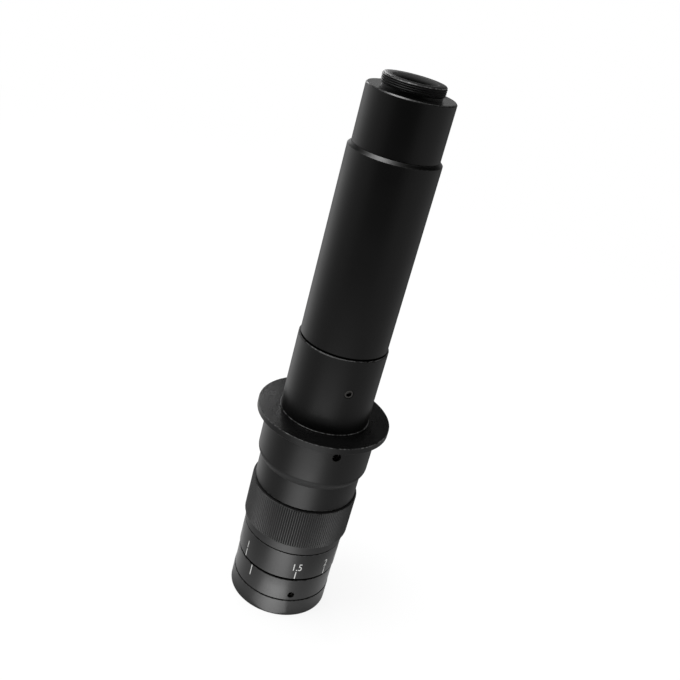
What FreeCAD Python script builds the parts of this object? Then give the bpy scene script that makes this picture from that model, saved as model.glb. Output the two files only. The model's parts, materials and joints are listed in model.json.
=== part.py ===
import FreeCAD, Part
import math
import os
import Sketcher

# A zoom lens for a machine-vision camera: it stands on its front ring, with +Z along the optical
# axis towards the camera. The origin is the centre of the front ring's lower face. Millimetres.

Vector = FreeCAD.Vector
Rotation = FreeCAD.Rotation
Placement = FreeCAD.Placement

document = FreeCAD.newDocument("zoom_lens")
sheet = document.addObject("Spreadsheet::Sheet", "sizes")
pieces = []
UPRIGHT = Vector(0, 0, 1)


# A size is a number together with the sheet expression that gives it.
class Size:
    def __init__(self, value, text):
        self.value = value
        self.text = text

    def combine(self, other, sign, value):
        return Size(value, "(" + self.text + sign + other.text + ")")

    def __add__(self, other):
        other = as_size(other)
        return self.combine(other, " + ", self.value + other.value)

    def __sub__(self, other):
        other = as_size(other)
        return self.combine(other, " - ", self.value - other.value)

    def __mul__(self, other):
        other = as_size(other)
        return self.combine(other, " * ", self.value * other.value)

    def __truediv__(self, other):
        other = as_size(other)
        return self.combine(other, " / ", self.value / other.value)


def as_size(item):
    if isinstance(item, Size):
        return item
    return Size(float(item), str(float(item)))


def root(size):
    return Size(math.sqrt(size.value), "sqrt(" + size.text + ")")


def sized(alias, value, meaning):
    """Write one driving size to the sheet and give it back as a Size."""
    row = str(sized.next_row)
    sized.next_row += 1
    sheet.set("A" + row, meaning)
    sheet.set("B" + row, str(value))
    sheet.setAlias("B" + row, alias)
    return Size(float(value), "sizes." + alias)


sized.next_row = 1
ZERO = as_size(0)

# Outside radii
front_ring_radius = sized("front_ring_radius", 22.9, "front ring, outside")
index_ring_radius = sized("index_ring_radius", 22.7, "index ring, outside")
scale_ring_radius = sized("scale_ring_radius", 23.0, "scale ring, outside")
land_radius = sized("land_radius", 23.15, "smooth land below the knurl")
knurl_radius = sized("knurl_radius", 24.3, "knurl, over the ribs")
neck_radius = sized("neck_radius", 23.2, "neck of the body")
seat_radius = sized("seat_radius", 25.0, "seat for a 50 mm stand ring")
flange_radius = sized("flange_radius", 29.6, "flange above the seat")
lower_tube_radius = sized("lower_tube_radius", 19.7, "lower tube, outside")
main_tube_radius = sized("main_tube_radius", 19.1, "main tube, outside")
adapter_radius = sized("adapter_radius", 17.8, "camera adapter, outside")
c_mount_radius = sized("c_mount_radius", 12.7, "camera thread, 25.4 mm over the crests")

# Heights of the pieces that stack up along the axis
front_ring_height = sized("front_ring_height", 8.8, "front ring")
front_joint = sized("front_joint", 0.4, "open joint above the front ring")
index_ring_height = sized("index_ring_height", 11.65, "index ring")
scale_groove = sized("scale_groove", 0.55, "open groove below the scale ring, over the skirt")
scale_ring_height = sized("scale_ring_height", 13.7, "scale ring")
scale_joint = sized("scale_joint", 0.6, "open joint above the scale ring")
land_height = sized("land_height", 4.6, "smooth land")
knurl_height = sized("knurl_height", 19.4, "knurled grip")
neck_height = sized("neck_height", 11.9, "neck of the body")
flare_height = sized("flare_height", 2.9, "flare from the neck to the seat")
seat_height = sized("seat_height", 19.8, "seat for the stand ring")
flange_thickness = sized("flange_thickness", 2.9, "flange")
lower_tube_height = sized("lower_tube_height", 36.0, "lower tube above the flange")
foot_bead_radius = sized("foot_bead_radius", 20.1, "bead round the foot of the lower tube")
foot_bead_height = sized("foot_bead_height", 0.55, "bead round the foot of the lower tube")
tube_joint = sized("tube_joint", 0.7, "open joint above the lower tube")
main_tube_height = sized("main_tube_height", 82.15, "main tube above the joint")
adapter_height = sized("adapter_height", 22.75, "camera adapter up to its shoulder")
c_mount_height = sized("c_mount_height", 4.85, "threaded neck above the shoulder")

# Walls, bores and steps
accessory_bore = sized("accessory_bore", 20.0, "front thread for add-on lenses, radius")
accessory_depth = sized("accessory_depth", 5.5, "depth of the front thread")
barrel_radius = sized("barrel_radius", 18.5, "guide barrel, outside")
barrel_wall = sized("barrel_wall", 2.0, "guide barrel wall")
sleeve_wall = sized("sleeve_wall", 2.1, "cam sleeve wall")
skirt_wall = sized("skirt_wall", 1.15, "skirt of the grip ring under the scale ring")
neck_wall = sized("neck_wall", 1.7, "neck wall")
web_thickness = sized("web_thickness", 3.8, "web inside the body that holds the guide barrel")
tube_spigot_step = sized("tube_spigot_step", 0.5, "step from the lower tube to its spigot")
spigot_wall = sized("spigot_wall", 2.0, "wall of the lower tube's spigot")
socket_wall = sized("socket_wall", 2.0, "wall of the lower tube's socket")
socket_depth = sized("socket_depth", 26.5, "depth of the lower tube's socket")
inner_spigot_wall = sized("inner_spigot_wall", 1.65, "wall of the main tube's spigot")
main_tube_wall = sized("main_tube_wall", 2.0, "main tube wall")
ledge_height = sized("ledge_height", 2.0, "ledge of the main tube above its foot")
adapter_spigot_length = sized("adapter_spigot_length", 10.5, "spigot of the camera adapter")
adapter_wall = sized("adapter_wall", 1.75, "wall of the adapter's spigot")
adapter_cap = sized("adapter_cap", 4.0, "cap of the camera adapter")
throat_radius = sized("throat_radius", 9.1, "opening towards the camera")
stop_seat_radius = sized("stop_seat_radius", 10.4, "seat of the glare stop")
stop_seat_depth = sized("stop_seat_depth", 3.4, "depth of the glare stop's seat")
glare_stop_bore = sized("glare_stop_bore", 8.0, "hole in the glare stop")
thread_relief_radius = sized("thread_relief_radius", 12.0, "relief groove below the camera thread")
thread_relief_width = sized("thread_relief_width", 1.05, "width of the relief groove")

# Edges
edge_break = sized("edge_break", 0.2, "small bevel on turned edges")
knurl_bevel = sized("knurl_bevel", 0.35, "bevel at both ends of the knurl")
tube_bevel = sized("tube_bevel", 1.3, "bevel at the top of the main tube")
lip_bevel = sized("lip_bevel", 0.4, "bevel on the lower tube's lip")
adapter_bevel = sized("adapter_bevel", 0.5, "bevel at the top of the adapter")
flare_round = sized("flare_round", 3.5, "rounding at the top of the flare")

# Fits
seat_fit = sized("seat_fit", 0.05, "radial play between screwed or pushed pieces")
running_fit = sized("running_fit", 0.3, "radial play between pieces that move")
end_play = sized("end_play", 0.2, "axial play at the slide washers")
cell_gap = sized("cell_gap", 0.6, "least gap between neighbouring lens cells")
screw_fit = sized("screw_fit", 0.05, "radial play round a screw")
slot_fit = sized("slot_fit", 0.1, "play at each side of a pin in its straight slot")
cam_fit = sized("cam_fit", 0.3, "play at each side of a pin in its cam slot")

# Knurl
rib_count = 144
rib_depth = sized("rib_depth", 0.4, "depth of the knurl")
rib_land = sized("rib_land", 0.3, "flat left on top of each rib")

# Zoom motion: turning the ring slides the two inner groups along the barrel
turn_up = sized("turn_up", 87, "degrees from rest to the lowest power")
turn_down = sized("turn_down", 169, "degrees from rest to the highest power")
variator_lead = sized("variator_lead", 36, "travel of the variator in one turn")
compensator_lead = sized("compensator_lead", 14.4, "travel of the compensator in one turn")
variator_azimuth = sized("variator_azimuth", 90, "direction of the variator's pin")
compensator_azimuth = sized("compensator_azimuth", 210, "direction of the compensator's pin")
pin_radius = sized("pin_radius", 1.5, "follower pin in the slots")
pin_shank = sized("pin_shank", 1.1, "follower pin in the cell")
pin_sink = sized("pin_sink", 3.0, "depth of the follower pin in the cell")
pin_head_inset = sized("pin_head_inset", 0.4, "follower pin below the sleeve's outside")
pin_start = sized("pin_start", 6.6, "lowest variator pin above the foot of the sleeve")
sleeve_end_wall = sized("sleeve_end_wall", 2.6, "sleeve left above the upper cam slot")
washer_thickness = sized("washer_thickness", 0.5, "slide washer")

# Screws
index_screw_radius = sized("index_screw_radius", 1.6, "index ring screws")
index_screw_length = sized("index_screw_length", 2.8, "index ring screws")
index_screw_height = sized("index_screw_height", 3.1, "index ring screws above the ring's foot")
index_screw_azimuth = sized("index_screw_azimuth", -70.8, "direction of the first index ring screw")
body_screw_radius = sized("body_screw_radius", 1.9, "body screws")
body_screw_length = sized("body_screw_length", 4.0, "body screws")
body_screw_drop = sized("body_screw_drop", 4.7, "body screws below the flange")
body_screw_azimuth = sized("body_screw_azimuth", -65.8, "direction of the first body screw")
tube_screw_radius = sized("tube_screw_radius", 2.0, "lower tube screws")
tube_screw_drop = sized("tube_screw_drop", 15.5, "lower tube screws below the tube's lip")
tube_screw_azimuth = sized("tube_screw_azimuth", -66.2, "direction of the first lower tube screw")
tube_screw_inset = sized("tube_screw_inset", 0.15, "lower tube screws below the surface")
screw_groove_depth = sized("screw_groove_depth", 0.6, "groove that the lower tube screws press on")
drive_screw_radius = sized("drive_screw_radius", 1.0, "screws from grip ring to cam sleeve")
drive_screw_height = sized("drive_screw_height", 2.4, "drive screws above the sleeve's foot")
drive_screw_inset = sized("drive_screw_inset", 0.15, "drive screws below the skirt")
drive_screw_floor = sized("drive_screw_floor", 0.3, "sleeve wall left under a drive screw")
socket_share = sized("socket_share", 1.15, "across flats of a hex socket over the screw's radius")
socket_sink = sized("socket_sink", 1.2, "depth of a hex socket")
SCREW_COUNT = 3

# Optical cells
shoulder = sized("shoulder", 2.0, "shoulder that a lens sits on")
seat_rim = sized("seat_rim", 1.0, "how far a shoulder reaches under its lens")
retainer_thickness = sized("retainer_thickness", 1.5, "retaining ring")
cell_rim = sized("cell_rim", 1.0, "rim of a cell above its retaining ring")
front_cell_inset = sized("front_cell_inset", 1.0, "front cell behind the front thread")
aperture_radius = sized("aperture_radius", 6.0, "hole in the aperture stop")
aperture_thickness = sized("aperture_thickness", 0.8, "aperture stop")

# Levels along the axis
running_gap = washer_thickness + end_play
index_foot = front_ring_height + front_joint
index_top = index_foot + index_ring_height
zoom_foot = index_top + running_gap
scale_foot = zoom_foot + scale_groove
scale_top = scale_foot + scale_ring_height
land_foot = scale_top + scale_joint
knurl_foot = land_foot + land_height
knurl_top = knurl_foot + knurl_height
neck_foot = knurl_top + running_gap
flare_foot = neck_foot + neck_height
seat_foot = flare_foot + flare_height
seat_top = seat_foot + seat_height
flange_top = seat_top + flange_thickness
lower_tube_top = flange_top + lower_tube_height
main_tube_foot = lower_tube_top + tube_joint
main_tube_top = main_tube_foot + main_tube_height
adapter_top = main_tube_top + adapter_height
c_mount_top = adapter_top + c_mount_height

# Radii that follow from the fits
barrel_bore = barrel_radius - barrel_wall
sleeve_bore = barrel_radius + running_fit
sleeve_radius = sleeve_bore + sleeve_wall
grip_bore = sleeve_radius + seat_fit
skirt_radius = grip_bore + skirt_wall
scale_bore = skirt_radius + seat_fit
neck_bore = neck_radius - neck_wall
barrel_seat = barrel_radius + seat_fit
fixed_cell_radius = barrel_bore - seat_fit
moving_cell_radius = barrel_bore - running_fit
spigot_radius = lower_tube_radius - tube_spigot_step
spigot_bore = spigot_radius - spigot_wall
body_socket = spigot_radius + seat_fit
tube_socket = lower_tube_radius - socket_wall
inner_spigot_radius = tube_socket - seat_fit
inner_spigot_bore = inner_spigot_radius - inner_spigot_wall
main_tube_bore = main_tube_radius - main_tube_wall
adapter_spigot_radius = main_tube_bore - seat_fit
adapter_bore = adapter_spigot_radius - adapter_wall
tube_cell_radius = main_tube_bore - seat_fit

# Travel of the two inner groups
variator_drop = variator_lead * turn_up / 360
variator_rise = variator_lead * turn_down / 360
compensator_lift = compensator_lead * turn_up / 360
compensator_drop = compensator_lead * turn_down / 360


def new_body(name):
    """Start a piece whose label names its file."""
    body = document.addObject("PartDesign::Body", name)
    body.Label = name
    pieces.append(body)
    return body


def origin_part(body, role):
    """Find one of the body's own base planes or axes."""
    for item in body.Origin.OriginFeatures:
        if item.Role == role:
            return item
    raise ValueError(role)


def new_sketch(body, name, role="XZ_Plane", height=None, azimuth=None, distance=None):
    """Attach a sketch to a base plane, raised by height and turned about the optical axis."""
    sketch = body.newObject("Sketcher::SketchObject", name)
    sketch.AttachmentSupport = [(origin_part(body, role), "")]
    sketch.MapMode = "FlatFace"
    turn = azimuth.value if azimuth else 0
    rise = height.value if height else 0
    reach = distance.value if distance else 0
    sketch.AttachmentOffset = Placement(Vector(0, rise, reach), Rotation(Vector(0, 1, 0), turn))
    if height:
        sketch.setExpression(".AttachmentOffset.Base.y", height.text)
    if azimuth:
        sketch.setExpression(".AttachmentOffset.Rotation.Angle", azimuth.text)
    if distance:
        sketch.setExpression(".AttachmentOffset.Base.z", distance.text)
    return sketch


def bind(sketch, constraint, size):
    """Add a sized constraint that reads its value from the sheet."""
    index = sketch.addConstraint(constraint)
    sketch.setExpression("Constraints[%d]" % index, size.text)


def hold_across(sketch, edge, end, size):
    """Hold one end of an edge at a distance from the upright axis."""
    if size is ZERO:
        sketch.addConstraint(Sketcher.Constraint("PointOnObject", edge, end, -2))
    else:
        bind(sketch, Sketcher.Constraint("DistanceX", -1, 1, edge, end, size.value), size)


def hold_up(sketch, edge, end, size):
    """Hold one end of an edge at a height above the level axis."""
    if size is ZERO:
        sketch.addConstraint(Sketcher.Constraint("PointOnObject", edge, end, -1))
    else:
        bind(sketch, Sketcher.Constraint("DistanceY", -1, 1, edge, end, size.value), size)


def draw_outline(sketch, points):
    """Draw a closed outline of straight edges, with every corner held by its two sizes."""
    count = len(points)
    places = [Vector(across.value, up.value, 0) for across, up in points]
    for index in range(count):
        sketch.addGeometry(Part.LineSegment(places[index], places[(index + 1) % count]), False)
    for index in range(count):
        sketch.addConstraint(Sketcher.Constraint("Coincident", index, 2, (index + 1) % count, 1))
    for index, (across, up) in enumerate(points):
        hold_across(sketch, index, 1, across)
        hold_up(sketch, index, 1, up)


def stepped(start, towards, amount):
    """Move a corner along a level or upright edge by the amount."""
    across, up = start
    if abs(towards[0].value - across.value) < 1e-9:
        up = up + amount if towards[1].value > up.value else up - amount
    else:
        across = across + amount if towards[0].value > across.value else across - amount
    return across, up


def bevelled(corners):
    """Replace every corner that names a bevel with the two ends of that bevel."""
    points = []
    for index, corner in enumerate(corners):
        place = corner[:2]
        if len(corner) == 2:
            points.append(place)
            continue
        before = corners[index - 1][:2]
        after = corners[(index + 1) % len(corners)][:2]
        points.append(stepped(place, before, corner[2]))
        points.append(stepped(place, after, corner[2]))
    return points


def spin(body, name, sketch, axis="V_Axis"):
    """Turn a sketch all the way round one of its own axes."""
    turning = body.newObject("PartDesign::Revolution", name)
    turning.Profile = sketch
    turning.ReferenceAxis = (sketch, [axis])
    turning.Angle = 360
    body.Tip = turning
    return turning


def turned(name, corners):
    """A piece turned on a lathe: corners are (radius, height) or (radius, height, bevel)."""
    body = new_body(name)
    sketch = new_sketch(body, name + "_section")
    draw_outline(sketch, bevelled(corners))
    spin(body, name + "_turning", sketch)
    return body


def repeat(body, name, features, count):
    """Repeat features evenly round the optical axis."""
    pattern = body.newObject("PartDesign::PolarPattern", name)
    pattern.Originals = features
    pattern.Axis = (origin_part(body, "Z_Axis"), [""])
    pattern.Angle = 360
    pattern.Occurrences = count
    body.Tip = pattern
    return pattern


def radial_holes(body, height, azimuth, radius, inner, outer, count=SCREW_COUNT):
    """Drill holes from the inner to the outer radius, square to the optical axis."""
    name = body.Name + "_hole"
    sketch = new_sketch(body, name + "_section", height=height, azimuth=azimuth)
    draw_outline(sketch, [(inner, ZERO), (outer, ZERO), (outer, radius), (inner, radius)])
    hole = body.newObject("PartDesign::Groove", name)
    hole.Profile = sketch
    hole.ReferenceAxis = (sketch, ["H_Axis"])
    hole.Angle = 360
    body.Tip = hole
    if count > 1:
        repeat(body, name + "_pattern", [hole], count)


def place(body, height, azimuth=None, upside_down=False):
    """Set a piece on the optical axis at a height."""
    turn = Rotation(UPRIGHT, azimuth.value if azimuth else 0)
    if upside_down:
        turn = Rotation(Vector(1, 0, 0), 180)
    body.Placement = Placement(Vector(0, 0, height.value), turn)
    body.setExpression(".Placement.Base.z", height.text)
    if azimuth:
        body.setExpression(".Placement.Rotation.Angle", azimuth.text)


def set_screws(name, height, azimuth, radius, tip, head):
    """Three identical set screws with hex sockets, evenly round the axis."""
    body = new_body(name)
    profile = new_sketch(body, name + "_section")
    draw_outline(profile, bevelled([
        (tip, ZERO),
        (head, ZERO),
        (head, radius, edge_break),
        (tip, radius, edge_break),
    ]))
    shank = spin(body, name + "_shank", profile, "H_Axis")
    flats = new_sketch(body, name + "_flats", "YZ_Plane", distance=head)
    draw_hexagon(flats, radius * socket_share / 2)
    socket = body.newObject("PartDesign::Pocket", name + "_socket")
    socket.Profile = flats
    socket.Length = socket_sink.value
    socket.setExpression("Length", socket_sink.text)
    body.Tip = socket
    repeat(body, name + "_pattern", [shank, socket], SCREW_COUNT)
    place(body, height, azimuth)
    return body


def draw_hexagon(sketch, half_flats):
    """Draw a regular hexagon by its half width across flats, with two sides upright."""
    corner_reach = half_flats * 2 / root(as_size(3))
    circle = Part.Circle(Vector(0, 0, 0), UPRIGHT, corner_reach.value)
    guide = sketch.addGeometry(circle, True)
    sketch.addConstraint(Sketcher.Constraint("Coincident", guide, 3, -1, 1))
    bind(sketch, Sketcher.Constraint("Radius", guide, corner_reach.value), corner_reach)
    angles = [math.radians(30 + 60 * side) for side in range(6)]
    corners = [Vector(math.cos(a), math.sin(a), 0) * corner_reach.value for a in angles]
    sides = []
    for side in range(6):
        line = Part.LineSegment(corners[side], corners[(side + 1) % 6])
        sides.append(sketch.addGeometry(line, False))
    for side in range(6):
        follower = sides[(side + 1) % 6]
        sketch.addConstraint(Sketcher.Constraint("Coincident", sides[side], 2, follower, 1))
        sketch.addConstraint(Sketcher.Constraint("PointOnObject", sides[side], 1, guide))
    for side in range(1, 6):
        sketch.addConstraint(Sketcher.Constraint("Equal", sides[0], sides[side]))
    sketch.addConstraint(Sketcher.Constraint("Vertical", sides[5]))


# Lens surfaces: the apex height, the radius of curvature and whether the surface rises outwards
def sag(curve, reach):
    """How far a spherical surface departs from its apex plane at a distance from the axis."""
    return curve - root(curve * curve - reach * reach)


def draw_surface(sketch, surface, reach):
    """Draw one lens surface as an arc whose centre is on the axis."""
    apex, curve, rises = surface
    tilt = math.asin(reach.value / curve.value)
    centre_height = apex.value + curve.value if rises else apex.value - curve.value
    start = -math.pi / 2 if rises else math.pi / 2 - tilt
    circle = Part.Circle(Vector(0, centre_height, 0), UPRIGHT, curve.value)
    arc = sketch.addGeometry(Part.ArcOfCircle(circle, start, start + tilt), False)
    apex_end, edge_end = (1, 2) if rises else (2, 1)
    hold_across(sketch, arc, apex_end, ZERO)
    hold_up(sketch, arc, apex_end, apex)
    sketch.addConstraint(Sketcher.Constraint("PointOnObject", arc, 3, -2))
    bind(sketch, Sketcher.Constraint("Radius", arc, curve.value), curve)
    hold_across(sketch, arc, edge_end, reach)
    return arc, apex_end, edge_end


def join_ends(sketch, first, second, end):
    """Join the matching ends of two arcs with a straight edge."""
    places = [sketch.getPoint(arc[0], arc[end]) for arc in (first, second)]
    line = sketch.addGeometry(Part.LineSegment(*places), False)
    sketch.addConstraint(Sketcher.Constraint("Coincident", line, 1, first[0], first[end]))
    sketch.addConstraint(Sketcher.Constraint("Coincident", line, 2, second[0], second[end]))


def lens(name, reach, lower, upper):
    """A glass element turned from its two surfaces."""
    body = new_body(name)
    sketch = new_sketch(body, name + "_section")
    low = draw_surface(sketch, lower, reach)
    high = draw_surface(sketch, upper, reach)
    join_ends(sketch, low, high, 1)
    join_ends(sketch, low, high, 2)
    spin(body, name + "_turning", sketch)
    return body


# A lens group: a metal cell, two cemented elements and a retaining ring. It is drawn with the
# cell's shoulder at the bottom, and a converging pair bulges while a diverging pair is hollow.
class Group:
    def __init__(self, prefix, lens_radius, curves, thicknesses, converging):
        word = prefix + "_"
        self.prefix = prefix
        self.reach = sized(word + "lens_radius", lens_radius, prefix + " elements")
        self.clear = self.reach - seat_rim
        self.curves = [
            sized(word + side + "_curve", value, prefix + " surface, radius of curvature")
            for side, value in zip(("lower", "cement", "upper"), curves)
        ]
        self.thicknesses = [
            sized(word + side + "_thickness", value, prefix + " element at the axis")
            for side, value in zip(("lower", "upper"), thicknesses)
        ]
        self.converging = converging
        lower, cement, upper = self.curves
        if converging:
            self.low = shoulder - sag(lower, self.clear)
        else:
            self.low = shoulder + sag(lower, self.reach)
        self.middle = self.low + self.thicknesses[0]
        self.high = self.middle + self.thicknesses[1]
        if converging:
            self.retainer_foot = self.high - sag(upper, self.clear)
        else:
            self.retainer_foot = self.high + sag(upper, self.reach)
        self.retainer_top = self.retainer_foot + retainer_thickness
        self.length = self.retainer_top + cell_rim

    def make(self, radius):
        """Build the four pieces of the group, the cell with the given outside radius."""
        lower, cement, upper = self.curves
        bulge = self.converging
        bore = self.reach + seat_fit
        cell = turned(self.prefix + "_cell", [
            (self.clear, ZERO),
            (radius, ZERO, edge_break),
            (radius, self.length, edge_break),
            (bore, self.length, edge_break),
            (bore, shoulder),
            (self.clear, shoulder),
        ])
        seat_side = lens(
            self.prefix + "_lens_lower",
            self.reach,
            (self.low, lower, bulge),
            (self.middle, cement, not bulge),
        )
        open_side = lens(
            self.prefix + "_lens_upper",
            self.reach,
            (self.middle, cement, not bulge),
            (self.high, upper, not bulge),
        )
        retainer = turned(self.prefix + "_retainer", [
            (self.clear, self.retainer_foot),
            (self.reach, self.retainer_foot),
            (self.reach, self.retainer_top),
            (self.clear, self.retainer_top, edge_break),
        ])
        return [cell, seat_side, open_side, retainer]


front = Group("front", 14.0, (70, 42, 95), (6.0, 2.6), True)
variator = Group("variator", 10.5, (32, 36, 36), (1.8, 3.0), False)
compensator = Group("compensator", 11.0, (60, 40, 90), (4.4, 2.0), True)
rear = Group("rear", 11.5, (70, 38, 80), (4.6, 2.2), True)
relay = Group("relay", 14.0, (120, 60, 150), (4.6, 2.4), True)

# Where the moving groups stand: each pin at its lowest, at rest and at its highest
variator_pin_low = zoom_foot + pin_start
variator_pin = variator_pin_low + variator_drop
variator_pin_high = variator_pin + variator_rise
pin_spacing = (variator.length + compensator.length) / 2 + cell_gap
compensator_pin_low = variator_pin_high + pin_spacing
compensator_pin = compensator_pin_low + compensator_drop
compensator_pin_high = compensator_pin + compensator_lift
sleeve_top = compensator_pin_high + pin_radius + cam_fit + sleeve_end_wall
web_foot = sleeve_top + running_gap
web_top = web_foot + web_thickness
rear_cell_foot = compensator_pin_high + compensator.length / 2 + cell_gap
front_cell_mouth = accessory_depth + front_cell_inset


def cut_straight_slot(body, name, azimuth, low, high):
    """Mill a round-ended slot along the axis through one wall of the guide barrel."""
    half = pin_radius + slot_fit
    sketch = new_sketch(body, name + "_outline", "YZ_Plane", azimuth=azimuth)
    bottom, top = low.value, high.value
    width = half.value
    right = sketch.addGeometry(Part.LineSegment(Vector(width, bottom, 0), Vector(width, top, 0)))
    left = sketch.addGeometry(Part.LineSegment(Vector(-width, top, 0), Vector(-width, bottom, 0)))
    upper_circle = Part.Circle(Vector(0, top, 0), UPRIGHT, width)
    lower_circle = Part.Circle(Vector(0, bottom, 0), UPRIGHT, width)
    over = sketch.addGeometry(Part.ArcOfCircle(upper_circle, 0, math.pi))
    under = sketch.addGeometry(Part.ArcOfCircle(lower_circle, math.pi, 2 * math.pi))
    for first, first_end, second, second_end in (
        (right, 2, over, 1),
        (over, 2, left, 1),
        (left, 2, under, 1),
        (under, 2, right, 1),
    ):
        joint = Sketcher.Constraint("Tangent", first, first_end, second, second_end)
        sketch.addConstraint(joint)
    sketch.addConstraint(Sketcher.Constraint("Equal", over, under))
    for arc, level in ((over, high), (under, low)):
        sketch.addConstraint(Sketcher.Constraint("PointOnObject", arc, 3, -2))
        bind(sketch, Sketcher.Constraint("DistanceY", -1, 1, arc, 3, level.value), level)
    bind(sketch, Sketcher.Constraint("Radius", over, half.value), half)
    slot = body.newObject("PartDesign::Pocket", name)
    slot.Profile = sketch
    slot.Reversed = True
    reach = barrel_radius + running_fit
    slot.Length = reach.value
    slot.setExpression("Length", reach.text)
    body.Tip = slot


def cut_cam_slot(body, name, azimuth, low, lead, left_handed):
    """Mill a helical slot in the cam sleeve for one follower pin over the whole zoom turn."""
    half = pin_radius + cam_fit
    run_on = half / sleeve_bore * (180 / math.pi) * 1.05
    sweep = turn_up + turn_down + run_on * 2
    if left_handed:
        start = azimuth + turn_down + run_on
    else:
        start = azimuth - turn_up - run_on
    foot = low - lead * run_on / 360 - half
    inside = sleeve_bore - running_fit
    outside = sleeve_radius + running_fit
    sketch = new_sketch(body, name + "_section", azimuth=start)
    draw_outline(sketch, [
        (inside, foot),
        (outside, foot),
        (outside, foot + half * 2),
        (inside, foot + half * 2),
    ])
    rise = lead * sweep / 360
    slot = body.newObject("PartDesign::SubtractiveHelix", name)
    slot.Profile = sketch
    slot.ReferenceAxis = (sketch, ["V_Axis"])
    slot.Mode = "pitch-height-angle"
    slot.Pitch = lead.value
    slot.Height = rise.value
    slot.LeftHanded = left_handed
    slot.setExpression("Pitch", lead.text)
    slot.setExpression("Height", rise.text)
    body.Tip = slot


def follower(name, height, azimuth):
    """The pin that carries a moving cell through its straight slot and its cam slot."""
    foot = moving_cell_radius - pin_sink
    head = sleeve_radius - pin_head_inset
    body = new_body(name)
    sketch = new_sketch(body, name + "_section")
    draw_outline(sketch, bevelled([
        (foot, ZERO),
        (head, ZERO),
        (head, pin_radius, edge_break),
        (moving_cell_radius, pin_radius),
        (moving_cell_radius, pin_shank),
        (foot, pin_shank),
    ]))
    spin(body, name + "_turning", sketch, "H_Axis")
    place(body, height, azimuth)


def slide_washer(name, foot):
    """A thin ring that the cam sleeve turns against."""
    turned(name, [
        (sleeve_bore, foot),
        (sleeve_radius, foot),
        (sleeve_radius, foot + washer_thickness),
        (sleeve_bore, foot + washer_thickness),
    ])


# Front ring and index ring, fixed on the guide barrel
turned("front_ring", [
    (accessory_bore, ZERO, edge_break),
    (front_ring_radius, ZERO, edge_break),
    (front_ring_radius, front_ring_height, edge_break),
    (barrel_seat, front_ring_height),
    (barrel_seat, accessory_depth),
    (accessory_bore, accessory_depth),
])
index_ring = turned("index_ring", [
    (barrel_seat, index_foot),
    (index_ring_radius, index_foot, edge_break),
    (index_ring_radius, index_top, edge_break),
    (barrel_seat, index_top),
])
index_screw_level = index_foot + index_screw_height
radial_holes(
    index_ring,
    index_screw_level,
    index_screw_azimuth,
    index_screw_radius + screw_fit,
    barrel_seat - index_screw_radius,
    index_ring_radius + seat_fit,
)
set_screws(
    "index_ring_screws",
    index_screw_level,
    index_screw_azimuth,
    index_screw_radius,
    barrel_radius,
    barrel_radius + index_screw_length,
)

# Guide barrel with its two straight slots
guide_barrel = turned("guide_barrel", [
    (barrel_bore, front_cell_mouth, edge_break),
    (barrel_radius, front_cell_mouth),
    (barrel_radius, web_top),
    (barrel_bore, web_top, edge_break),
])
cut_straight_slot(
    guide_barrel, "variator_slot", variator_azimuth, variator_pin_low, variator_pin_high
)
cut_straight_slot(
    guide_barrel,
    "compensator_slot",
    compensator_azimuth,
    compensator_pin_low,
    compensator_pin_high,
)
slide_washer("lower_slide_washer", index_top)
slide_washer("upper_slide_washer", web_foot - washer_thickness)

# Turning rings: cam sleeve, grip ring, scale ring and the screws that drive the sleeve
cam_sleeve = turned("cam_sleeve", [
    (sleeve_bore, zoom_foot),
    (sleeve_radius, zoom_foot, edge_break),
    (sleeve_radius, sleeve_top, edge_break),
    (sleeve_bore, sleeve_top),
])
cut_cam_slot(
    cam_sleeve, "variator_cam", variator_azimuth, variator_pin_low, variator_lead, False
)
cut_cam_slot(
    cam_sleeve,
    "compensator_cam",
    compensator_azimuth,
    compensator_pin_low,
    compensator_lead,
    True,
)
drive_level = zoom_foot + drive_screw_height
drive_tip = sleeve_bore + drive_screw_floor
radial_holes(
    cam_sleeve,
    drive_level,
    variator_azimuth,
    drive_screw_radius + screw_fit,
    drive_tip - seat_fit,
    sleeve_radius + seat_fit,
)
grip_ring = turned("zoom_grip_ring", [
    (grip_bore, zoom_foot),
    (skirt_radius, zoom_foot),
    (skirt_radius, land_foot),
    (land_radius, land_foot, edge_break / 2),
    (land_radius, knurl_foot),
    (knurl_radius, knurl_foot, knurl_bevel),
    (knurl_radius, knurl_top, knurl_bevel),
    (grip_bore, knurl_top),
])
radial_holes(
    grip_ring,
    drive_level,
    variator_azimuth,
    drive_screw_radius + screw_fit,
    grip_bore - drive_screw_radius,
    skirt_radius + seat_fit,
)
set_screws(
    "drive_screws",
    drive_level,
    variator_azimuth,
    drive_screw_radius,
    drive_tip,
    skirt_radius - drive_screw_inset,
)
turned("scale_ring", [
    (scale_bore, scale_foot),
    (scale_ring_radius, scale_foot, edge_break),
    (scale_ring_radius, scale_top, edge_break / 2),
    (scale_bore, scale_top),
])


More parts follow.
